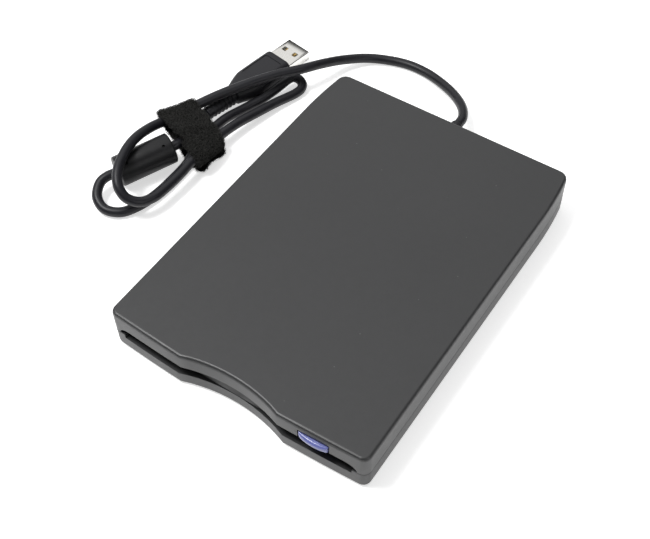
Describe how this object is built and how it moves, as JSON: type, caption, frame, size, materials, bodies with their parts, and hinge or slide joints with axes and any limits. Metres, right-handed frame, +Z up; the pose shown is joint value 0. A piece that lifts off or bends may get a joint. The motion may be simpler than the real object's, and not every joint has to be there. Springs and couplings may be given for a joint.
{
  "type": "external floppy disk drive",
  "caption": "slim external 3.5 inch floppy disk drive with a sprung slot door, eject button, finger notch and a captive USB lead tied in a hank beside it",
  "frame": {"origin": "middle of the footprint of the drive, button included, on the surface it stands on", "axes": "+Z up; -Y is the front with the disk slot; +Y is the rear where the lead comes out; +X is the right-hand side seen from the front"},
  "size_m": [0.1568, 0.1809, 0.018],
  "materials": {
    "board": "green lacquered board",
    "brass": "plain brass",
    "button": "smooth blue-lavender moulding",
    "chip": "moulded black",
    "copper": "copper windings on a steel core",
    "cord": "satin dark grey jacket",
    "door": "plain dark moulding",
    "hook": "black hook-and-loop strap",
    "magnet": "bonded magnet",
    "plated": "bright plated sheet",
    "rubber": "soft black moulding",
    "shell": "fine-textured charcoal moulding",
    "steel": "plain pressed or turned steel",
    "white": "moulded off-white"
  },
  "bodies": {
    "case": {"top_cover": "shell", "bottom_cover": "shell", "door_hinge_pin": "steel", "door_spring": "steel", "strain_relief": "rubber", "drive_chassis": "steel", "top_shield": "plated", "latch_pivot": "steel", "latch_spring": "steel", "spindle_motor_board": "board", "spindle_bearing": "brass", "stator_core": "copper", "stepper_motor": "steel", "guide_rod": "steel", "control_board": "board", "controller_chip": "chip", "usb_board": "board", "cord_connector": "white", "cord_lead": "cord", "cord_hank": "cord", "cord_plug_lead": "cord", "ferrite_choke": "rubber", "cable_tie": "hook", "plug_overmould": "rubber", "usb_shell": "plated", "usb_contact_tongue": "white", "foot_front_left": "rubber", "chassis_screw_front_left": "steel", "foot_rear_left": "rubber", "chassis_screw_rear_left": "steel", "case_screw_left": "steel", "slide_spring_left": "steel", "sense_switch_left": "chip", "foot_front_right": "rubber", "chassis_screw_front_right": "steel", "foot_rear_right": "rubber", "chassis_screw_rear_right": "steel", "case_screw_right": "steel", "slide_spring_right": "steel", "sense_switch_right": "chip"},
    "door": {"slot_door": "door"},
    "eject": {"eject_button": "button", "slide_plate": "steel"},
    "carrier": {"disk_carrier": "plated"},
    "latch": {"latch_lever": "white"},
    "spindle": {"rotor": "plated", "rotor_magnet": "magnet", "drive_pin": "steel"},
    "screw": {"lead_screw": "steel"},
    "carriage": {"head_carriage": "chip", "lower_head": "white", "head_arm_spring": "brass"},
    "arm": {"upper_head_arm": "steel", "upper_head": "white"},
    "plunger_left": {"sense_plunger_left": "white"},
    "plunger_right": {"sense_plunger_right": "white"}
  },
  "joints": [
    {"name": "eject_slide", "type": "slide", "parent": "case", "child": "eject", "axis": [0, -1, 0], "range_m": [0, 0.0045], "deforming": ["slide_spring_left", "slide_spring_right"]},
    {"name": "carrier_lift", "type": "slide", "parent": "case", "child": "carrier", "axis": [0, 0, -1], "range_m": [0, 0.0022]},
    {"name": "latch_turn", "type": "hinge", "parent": "case", "child": "latch", "pos_m": [-0.026, 0.03326, 0.008], "axis": [0, 0, 1], "range_deg": [-24, 0]},
    {"name": "door_hinge", "type": "hinge", "parent": "case", "child": "door", "pos_m": [0, -0.06599, 0.0133], "axis": [1, 0, 0], "range_deg": [0, 100], "stiffness_Nm_per_rad": 0.001, "springref_deg": -28.65},
    {"name": "spindle_spin", "type": "hinge", "parent": "case", "child": "spindle", "pos_m": [0, -0.01824, 0.005], "axis": [0, 0, 1], "continuous": true},
    {"name": "lead_screw_spin", "type": "hinge", "parent": "case", "child": "screw", "pos_m": [-0.014, 0.03776, 0.0086], "axis": [0, -1, 0], "range_deg": [0, 1420.8]},
    {"name": "carriage_slide", "type": "slide", "parent": "case", "child": "carriage", "axis": [0, -1, 0], "range_m": [0, 0.0148]},
    {"name": "head_arm_tilt", "type": "hinge", "parent": "carriage", "child": "arm", "pos_m": [0, 0.04551, 0.0124], "axis": [1, 0, 0], "range_deg": [0, 9.8]},
    {"name": "sense_press_left", "type": "slide", "parent": "case", "child": "plunger_left", "axis": [0, 0, -1], "range_m": [0, 0.0012], "stiffness_N_per_m": 50, "springref_m": -0.0006},
    {"name": "sense_press_right", "type": "slide", "parent": "case", "child": "plunger_right", "axis": [0, 0, -1], "range_m": [0, 0.0012], "stiffness_N_per_m": 50, "springref_m": -0.0006}
  ],
  "couplings": [
    {"joint": "carrier_lift", "follows": "eject_slide", "ratio": 0.48889},
    {"joint": "latch_turn", "follows": "eject_slide", "rad_per_m": -93.084},
    {"joint": "head_arm_tilt", "follows": "eject_slide", "rad_per_m": 38.009},
    {"joint": "lead_screw_spin", "follows": "carriage_slide", "rad_per_m": 1675.5}
  ]
}
